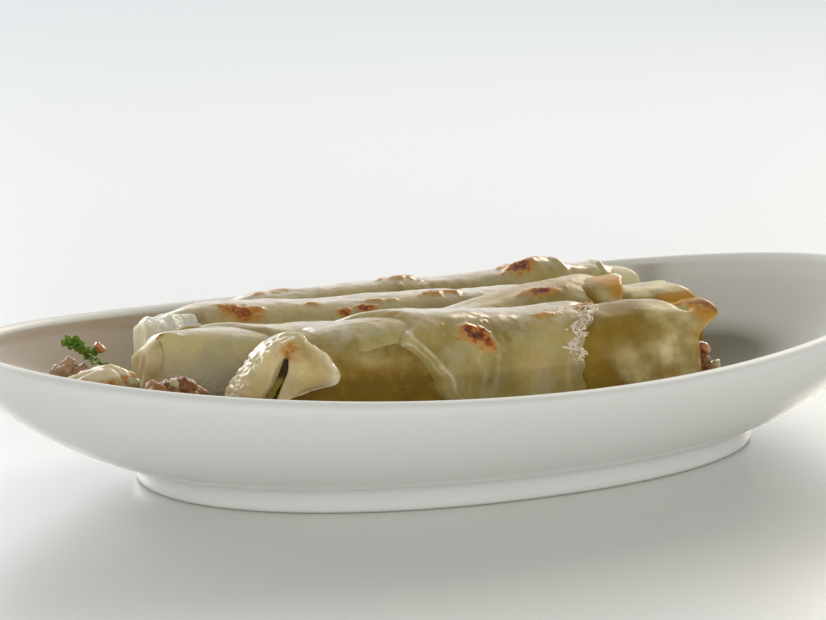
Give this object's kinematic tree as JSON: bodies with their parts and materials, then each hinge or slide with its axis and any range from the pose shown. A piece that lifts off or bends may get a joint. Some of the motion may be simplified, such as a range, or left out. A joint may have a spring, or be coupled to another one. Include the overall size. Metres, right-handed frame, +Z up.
{
  "type": "cannelloni in an oval dish",
  "caption": "Filled pasta rolls lying side by side under one layer of browned melted cheese, in an oval white porcelain dish on a low foot ring.",
  "frame": {"origin": "middle of the dish, on the table", "axes": "+X along the length of the dish, +Y towards the back long side, +Z up"},
  "size_m": [0.22, 0.1244, 0.0388],
  "materials": {
    "porcelain": "glossy white glaze",
    "pasta": "moist cooked pasta, browned at the free corners",
    "mince": "moist cooked minced meat",
    "cheese": "melted, glossy, browned in spots"
  },
  "bodies": {
    "root": {"cheese_fold_left": "cheese", "dish": "porcelain", "filling_1": "mince", "filling_2": "mince", "filling_3": "mince", "filling_4": "mince", "melted_cheese": "cheese", "pasta_roll_1": "pasta", "pasta_roll_2": "pasta", "pasta_roll_3": "pasta", "pasta_roll_4": "pasta", "spilled_filling_front": "mince", "spilled_filling_left": "mince", "spilled_filling_right": "mince"}
  },
  "joints": []
}
